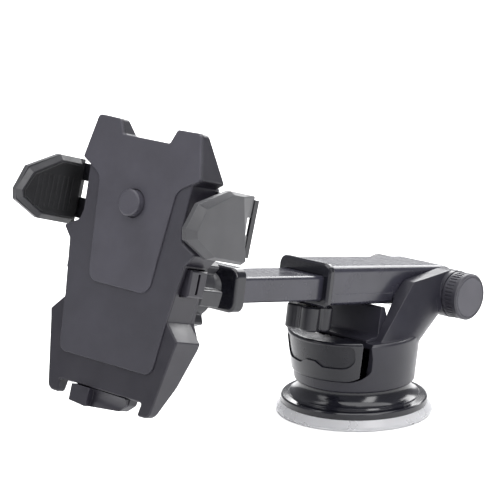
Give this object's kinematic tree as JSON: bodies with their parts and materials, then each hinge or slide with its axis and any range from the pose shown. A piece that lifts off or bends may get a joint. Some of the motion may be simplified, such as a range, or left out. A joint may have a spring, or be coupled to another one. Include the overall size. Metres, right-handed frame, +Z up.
{
  "type": "car phone mount",
  "caption": "Car phone mount: suction base with lock lever, tilting telescopic arm, ball joint and a clamping cradle with two jaws, trigger and foot.",
  "frame": {"origin": "centre of the suction face, on the dashboard", "axes": "+Z up from the dashboard, -Y along the arm towards the cradle, +X towards the tilt knob"},
  "size_m": [0.1052, 0.2257, 0.1551],
  "materials": {
    "gel": "soft clear-white gel, satin",
    "gloss_black": "polished black ABS",
    "satin_black": "fine spark-eroded texture",
    "panel_black": "soft-touch black",
    "ribbed_black": "ribbed black ABS",
    "rubber": "matt rubber",
    "steel": "zinc-plated steel",
    "brass": "turned brass",
    "acetal": "dark acetal, slightly waxy"
  },
  "bodies": {
    "base": {"suction_pad": "gel", "vacuum_disc": "rubber", "base_ring": "gloss_black", "base_shell_left": "satin_black", "base_shell_right": "satin_black", "neck_cover": "satin_black", "base_screws": "steel", "shell_screws": "steel", "lever_pin": "steel", "stem_spring": "steel", "pivot_bolt": "steel", "pivot_cap": "satin_black", "friction_washers": "acetal"},
    "lever": {"lock_lever": "gloss_black", "lever_inlay": "satin_black"},
    "stem": {"pull_stem": "acetal"},
    "knob": {"tilt_knob": "ribbed_black", "knob_cap": "panel_black", "knob_nut": "brass"},
    "housing": {"pivot_bush": "acetal", "housing_upper": "gloss_black", "housing_lower": "satin_black", "housing_rim": "gloss_black", "housing_screws": "steel", "thumb_nut": "brass"},
    "thumb": {"thumb_screw": "satin_black", "thumb_stud": "steel"},
    "tube": {"arm_tube": "gloss_black", "tube_stop": "acetal", "end_cap": "gloss_black", "ball_stud": "acetal"},
    "seat_front": {"ball_cup": "acetal"},
    "seat_rear": {"ball_ring": "acetal"},
    "cradle": {"cradle_back": "satin_black", "cradle_case": "satin_black", "front_plate": "panel_black", "face_panel": "panel_black", "case_screws": "steel"},
    "collar": {"collar_nut": "satin_black"},
    "trigger": {"trigger_button": "panel_black", "trigger_spring": "steel"},
    "gear": {"pinion": "acetal", "pinion_spring": "steel"},
    "left_arm": {"arm_left": "satin_black", "jaw_left": "satin_black", "jaw_pad_left": "rubber"},
    "right_arm": {"arm_right": "satin_black", "jaw_right": "satin_black", "jaw_pad_right": "rubber"},
    "left_release": {"release_left": "satin_black"},
    "right_release": {"release_right": "satin_black"},
    "foot": {"foot": "satin_black"}
  },
  "joints": [
    {"name": "lever_open", "type": "hinge", "parent": "base", "child": "lever", "pos_m": [0, -0.0205, 0.0366], "axis": [-1, 0, 0], "range_deg": [0, 26]},
    {"name": "stem_lift", "type": "slide", "parent": "base", "child": "stem", "axis": [0, 0, 1], "range_m": [-0.0027, 0], "deforming": ["stem_spring"]},
    {"name": "arm_tilt", "type": "hinge", "parent": "base", "child": "housing", "pos_m": [0, 0.0436, 0.0526], "axis": [-1, 0, 0], "range_deg": [0, 80]},
    {"name": "knob_turn", "type": "hinge", "parent": "base", "child": "knob", "pos_m": [0, 0.0436, 0.0526], "axis": [1, 0, 0], "range_deg": [-180, 180]},
    {"name": "thumb_turn", "type": "hinge", "parent": "housing", "child": "thumb", "pos_m": [0, -0.03125, 0.05451], "axis": [0, 0.1588, 0.9873], "range_deg": [-180, 180]},
    {"name": "tube_slide", "type": "slide", "parent": "housing", "child": "tube", "axis": [0, -0.9873, 0.1588], "range_m": [-0.05, 0]},
    {"name": "ball_pan", "type": "hinge", "parent": "tube", "child": "seat_front", "pos_m": [0, -0.11243, 0.07938], "axis": [0.018, 0.2597, 0.9655], "range_deg": [-15, 15]},
    {"name": "ball_tilt", "type": "hinge", "parent": "seat_front", "child": "seat_rear", "pos_m": [0, -0.11243, 0.07938], "axis": [0.9958, 0.0816, -0.0405], "range_deg": [-15, 15]},
    {"name": "ball_roll", "type": "hinge", "parent": "seat_rear", "child": "cradle", "pos_m": [0, -0.11243, 0.07938], "axis": [-0.0893, 0.9622, -0.2571], "range_deg": [-180, 180]},
    {"name": "collar_turn", "type": "hinge", "parent": "cradle", "child": "collar", "pos_m": [0, -0.11243, 0.07938], "axis": [-0.0893, 0.9622, -0.2571], "range_deg": [-180, 180]},
    {"name": "trigger_press", "type": "slide", "parent": "cradle", "child": "trigger", "axis": [-0.0893, 0.9622, -0.2571], "range_m": [0, 0.0025], "stiffness_N_per_m": 500, "springref_m": -0.002},
    {"name": "arm_close", "type": "slide", "parent": "cradle", "child": "left_arm", "axis": [0.9958, 0.0816, -0.0405], "range_m": [0, 0.01]},
    {"name": "arm_close_right", "type": "slide", "parent": "cradle", "child": "right_arm", "axis": [-0.9958, -0.0816, 0.0405], "range_m": [0, 0.01]},
    {"name": "pinion_turn", "type": "hinge", "parent": "cradle", "child": "gear", "pos_m": [0.00263, -0.12625, 0.11619], "axis": [0.0893, -0.9622, 0.2571], "range_deg": [0, 96]},
    {"name": "release_press_left", "type": "slide", "parent": "cradle", "child": "left_release", "axis": [0.9958, 0.0816, -0.0405], "range_m": [0, 0.002], "stiffness_N_per_m": 500, "springref_m": -0.002},
    {"name": "release_press_right", "type": "slide", "parent": "cradle", "child": "right_release", "axis": [-0.9958, -0.0816, 0.0405], "range_m": [0, 0.002], "stiffness_N_per_m": 500, "springref_m": -0.002},
    {"name": "foot_slide", "type": "slide", "parent": "cradle", "child": "foot", "axis": [-0.018, -0.2597, -0.9655], "range_m": [0, 0.008]}
  ],
  "couplings": [
    {"joint": "stem_lift", "follows": "lever_open", "m_per_rad": -0.004815},
    {"joint": "arm_close_right", "follows": "arm_close", "ratio": 1},
    {"joint": "pinion_turn", "follows": "arm_close", "rad_per_m": 166.67}
  ]
}
